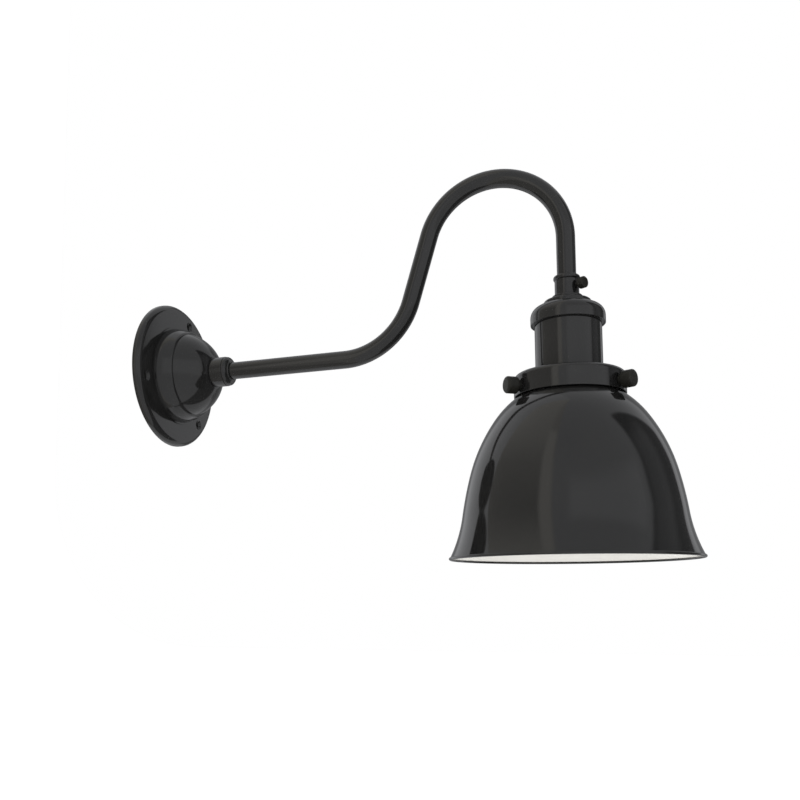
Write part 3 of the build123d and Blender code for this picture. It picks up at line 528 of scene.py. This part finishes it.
SHELL_TOP, SEPTUM = -73.3, -70.0
shell = helix(13.3, 12.5, 3.63, -95.3, SHELL_TOP, 96)
around = [
    edge for edge in shell.edges
    if len(edge.link_faces) == 2 and abs(edge.verts[0].co.cross(edge.verts[1].co).z) > 1e-9
]
rounded(shell, around, 0.6, 3)
tab = [shell.verts.new((13.6 * MM, side * 3.0 * MM, SHELL_TOP * MM)) for side in (-1, 1)]
walk(shell, tab + [shell.edges.new(tab)], (13.6, SHELL_TOP), 90, [
    (2.6, 0, 1), (0.4, 90, 4), (4.5, 0, 1),
], Vector((1, 0, 0)))
shell_piece = piece("lamp_shell", placed(shell, ON_LAMP), [BRASS], "holder", "brass", "screw_shell")
walled(shell_piece, -0.4)
shell_piece.modifiers["wall"].use_even_offset = False


def finished(finish, *names):
    """Gives CAD nodes that keep their shape a better finish."""
    for name in names:
        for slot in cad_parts[name].material_slots:
            slot.material = finish


finished(ZINC, "gallery_ring_nut")
finished(BRASS, "centre_contact", "contact_foot", "contact_rivet", "shell_rivet")
finished(BRASS, "socket_terminals", "socket_terminal_screws")
finished(ZINC, "neck_nut")


# ---- Shade ----
# A bell spun from thin steel, enamelled black outside and white inside. The top is rolled into a lip
# that the three screws catch under, and the rim is turned round a wire.
def white_enamel():
    """White enamel on spun steel: faint spinning rings, soft clouds and a little orange peel."""
    finish = Finish("white_enamel", IOR=1.5)
    cloud = finish.noise(18, 3)
    peel = finish.noise(300, 2)
    white = finish.colour(cloud, (0.60, 0.585, 0.55, 1), (0.72, 0.71, 0.68, 1))
    return finish.coat(white, 0.24 + 0.12 * cloud, peel, 0.00003)


WHITE_ENAMEL = white_enamel()
SHADE_WALL = 0.9
BELL = [
    (6.2, 0, 3), (3.0, 52.5, 8), (5.2, 0, 3), (80.5, -17.7, 12), (142.0, -20.1, 20), (307.0, -6.4, 12),
    (117.0, 18.0, 20),
]
LIP_LEVEL = -92.6


def bell_skin(inset):
    """One face of the shade, at a depth inside its outer face."""
    skin = bmesh.new()
    moves = [(size + inset * (turn > 0) - inset * (turn < 0), turn, steps) for size, turn, steps in BELL]
    outline(skin, (40.0 - inset, LIP_LEVEL), -90, moves)
    foot = min(skin.verts, key=lambda vert: vert.co.z).co.copy()
    spin_round(skin, skin.verts[:] + skin.edges[:], 192)
    outward = skin.faces[0].normal.dot(skin.faces[0].calc_center_median()) > 0
    if outward == (inset > 0):
        bmesh.ops.reverse_faces(skin, faces=skin.faces)
    return skin, foot


def wire(radius, thickness, level):
    """A round wire bent into a ring."""
    mesh = bmesh.new()
    bmesh.ops.create_circle(mesh, segments=24, radius=thickness)
    stand = Matrix.Translation((radius, 0, level)) @ Matrix.Rotation(radians(90), 4, "X")
    bmesh.ops.transform(mesh, verts=mesh.verts, matrix=stand)
    spin_round(mesh, mesh.verts[:] + mesh.edges[:], 192)
    return mesh


outer_skin, outer_foot = bell_skin(0)
inner_skin, inner_foot = bell_skin(SHADE_WALL)
middle = (outer_foot + inner_foot) / 2
for face in inner_skin.faces:
    face.material_index = 1
bell = bmesh.new()
for part in (
    outer_skin, inner_skin, wire(40.9 * MM, 1.5 * MM, LIP_LEVEL * MM), wire(middle.x, 1.2 * MM, middle.z)
):
    data = bpy.data.meshes.new("part")
    part.to_mesh(data)
    bell.from_mesh(data)
open_edges = [edge for edge in bell.edges if edge.is_boundary]
for top in (True, False):
    loops = [edge for edge in open_edges if (edge.verts[0].co.z > -120 * MM) == top]
    bmesh.ops.bridge_loops(bell, edges=loops)
piece("bell", placed(bell, ON_LAMP), [GLOSS_BLACK, WHITE_ENAMEL], "holder", "black_paint", "shade")


# ---- Fixings, terminals and cable behind the dome ----
# Plated steel hardware, a moulded terminal block with brass poles, and a three-core cable that runs
# through the arm. They keep their CAD shapes and show from behind and in section.
def moulding(name, low, high, roughness, scale, depth):
    """A moulded or extruded plastic with clouds and a fine surface grain."""
    finish = Finish(name, IOR=1.46)
    cloud = finish.noise(60, 3)
    grain = finish.noise(scale, 2)
    return finish.coat(finish.colour(cloud, low, high), roughness + 0.15 * cloud, grain, depth)


def core_sheaths():
    """Brown, green and yellow, and blue insulation, told apart by their place across the lamp."""
    finish = Finish("core_sheaths", IOR=1.46)
    split = finish.node("ShaderNodeSeparateXYZ", {0: finish.place}, output="X")
    stripe = finish.noise(160, 0) > 0.5
    earth = finish.colour(stripe, (0.03, 0.22, 0.04, 1), (0.60, 0.50, 0.03, 1))
    blue = finish.colour(split > 0.0014, earth, (0.02, 0.09, 0.42, 1))
    brown = finish.colour(split < -0.0014, blue, (0.10, 0.035, 0.012, 1))
    return finish.coat(brown, 0.35 + 0.1 * stripe, finish.noise(900, 2), 0.00002)


finished(ZINC, "dome_lugs", "dome_screws", "bridge", "bridge_screws", "earth_tag", "earth_screw")
finished(ZINC, "nipple", "nipple_nut", "nipple_washer", "terminal_screws", "terminal_block_screws")
finished(BRASS, "terminal_tubes")
for name, low, high, roughness, scale, depth, node in (
    ("white_moulding", (0.55, 0.54, 0.50, 1), (0.70, 0.69, 0.66, 1), 0.4, 1400, 0.00003, "terminal_block"),
    ("black_moulding", (0.008, 0.008, 0.008, 1), (0.02, 0.02, 0.02, 1), 0.45, 1400, 0.00003, "cable_bush"),
    ("black_rubber", (0.006, 0.006, 0.006, 1), (0.02, 0.019, 0.018, 1), 0.7, 900, 0.00006, "sealing_ring"),
    ("cable_sheath", (0.01, 0.01, 0.01, 1), (0.025, 0.025, 0.026, 1), 0.5, 700, 0.00006, "flex_cable"),
):
    finished(moulding(name, low, high, roughness, scale, depth), node)
finished(core_sheaths(), "flex_cores", "socket_cores")


# ---- Studio ----
# A pale floor that runs up into a backdrop, far enough away to take no shadow, and a white room all
# round with dark flags, so that the gloss shows the grey field and dark patches of the photograph.
def studio_white():
    finish = Finish("studio_white", Roughness=0.9, Emission_Strength=0.9)
    white = finish.colour(finish.noise(3), (0.86, 0.86, 0.86, 1), (0.9, 0.9, 0.9, 1))
    finish.join(finish.shader.inputs["Base Color"], white)
    finish.shader.inputs["Emission Color"].default_value = (1, 1, 1, 1)
    return finish.material


sweep = bmesh.new()
edge = [sweep.verts.new((side * 6.0, -6.0, -0.62)) for side in (-1, 1)]
walk(sweep, edge + [sweep.edges.new(edge)], (-6.0 / MM, -0.62 / MM), 0, [
    (9.5 / MM, 0, 4), (1.5 / MM, 90, 24), (5.0 / MM, 0, 4),
], Vector((0, 1, 0)))
sweep_data = bpy.data.meshes.new("floor")
for face in sweep.faces:
    face.smooth = True
sweep.to_mesh(sweep_data)
sweep_data.materials.append(studio_white())
floor = bpy.data.objects.new("floor", sweep_data)
bpy.context.scene.collection.objects.link(floor)
floor.visible_glossy = False


class Room(Tree):
    """The studio as the gloss sees it, drawn over bearings and heights in degrees."""

    def __init__(self, world):
        world.use_nodes = True
        super().__init__(world.node_tree)
        self.shader = self.tree.nodes["Background"]
        direction = self.node("ShaderNodeTexCoord", output="Generated")
        x = self.node("ShaderNodeSeparateXYZ", {0: direction}, output="X")
        y = self.node("ShaderNodeSeparateXYZ", {0: direction}, output="Y")
        z = self.node("ShaderNodeSeparateXYZ", {0: direction}, output="Z")
        self.bearing = self.maths("ARCTAN2", x, -1 * y) * (180 / pi)
        self.height = self.maths("ARCSINE", z) * (180 / pi)

    def past(self, value, edge, softness):
        """Rises from 0 to 1 as a value passes an edge."""
        limits = {0: value, 1: edge - softness, 2: edge + softness}
        return self.node("ShaderNodeMapRange", limits, interpolation_type="SMOOTHSTEP")

    def panel(self, left, right, foot, top, softness=1.5):
        """A panel between two bearings and two heights."""
        sides = self.past(self.bearing, left, softness) * (1 - self.past(self.bearing, right, softness))
        return sides * self.past(self.height, foot, softness) * (1 - self.past(self.height, top, softness))


world = bpy.data.worlds.new("white_room")
bpy.context.scene.world = world
room = Room(world)
window = 0.27 * room.panel(-118, -105, -5, 58, 3)
side_wall = room.past(-1 * room.bearing, 118, 3)
wall_grey = side_wall * (0.40 * room.past(room.height, 38, 22) - 0.28)
low_band = 0.18 * room.panel(-86, -4, -5, 31, 5)
far_side = room.past(room.bearing, 128, 8) * 0.12
lit = 0.66 + window + wall_grey + low_band + far_side
slant = room.height + 0.0098 * room.bearing * room.bearing
under_slant = room.past(room.bearing, 3, 3.5) * (1 - room.past(slant, 58, 1.5))
flag = under_slant * (1 - room.past(room.bearing, 55.5, 1.2))
fill = 0.16 * room.panel(6, 34, 8, 42, 7)
behind = room.panel(67, 126, -20, 42, 4)
tone = lit * (1 - flag) * (1 - 0.62 * behind) + flag * (0.10 + fill)
warm = room.past(-1 * room.bearing, 104, 2)
tint = room.colour(warm, (0.985, 0.995, 1.02, 1), (1.03, 1.0, 0.93, 1))
seen = room.node("ShaderNodeLightPath", output="Is Camera Ray")
room.join(room.shader.inputs["Color"], room.colour(seen, tint, (1, 1, 1, 1)))
room.join(room.shader.inputs["Strength"], tone * (1 - seen) + seen)


# ---- Camera ----
# It stands low and to the left of the lamp, looks a little upwards, and its frame is shifted as the
# photograph's is.
PHOTO_SIDE, FOCAL_PIXELS = 800, 925.68
AZIMUTH, ELEVATION, ROLL = radians(-69.99), radians(-6.07), radians(-0.27)
back = Vector((sin(AZIMUTH) * cos(ELEVATION), -cos(AZIMUTH) * cos(ELEVATION), sin(ELEVATION)))
level_right = Vector((cos(AZIMUTH), sin(AZIMUTH), 0))
level_up = back.cross(level_right)
right = level_right * cos(ROLL) + level_up * sin(ROLL)
up = level_up * cos(ROLL) - level_right * sin(ROLL)
camera = bpy.data.cameras.new("camera")
camera.sensor_width = 36
camera.lens = FOCAL_PIXELS * camera.sensor_width / PHOTO_SIDE
camera.shift_x, camera.shift_y = 30 / PHOTO_SIDE, 100 / PHOTO_SIDE
viewpoint = bpy.data.objects.new("camera", camera)
aim = Matrix((right, up, back)).transposed().to_4x4()
viewpoint.matrix_world = Matrix.Translation((-0.76342, -0.48164, -0.21509)) @ aim
bpy.context.scene.collection.objects.link(viewpoint)
bpy.context.scene.camera = viewpoint
bpy.context.scene.view_settings.view_transform = "Standard"
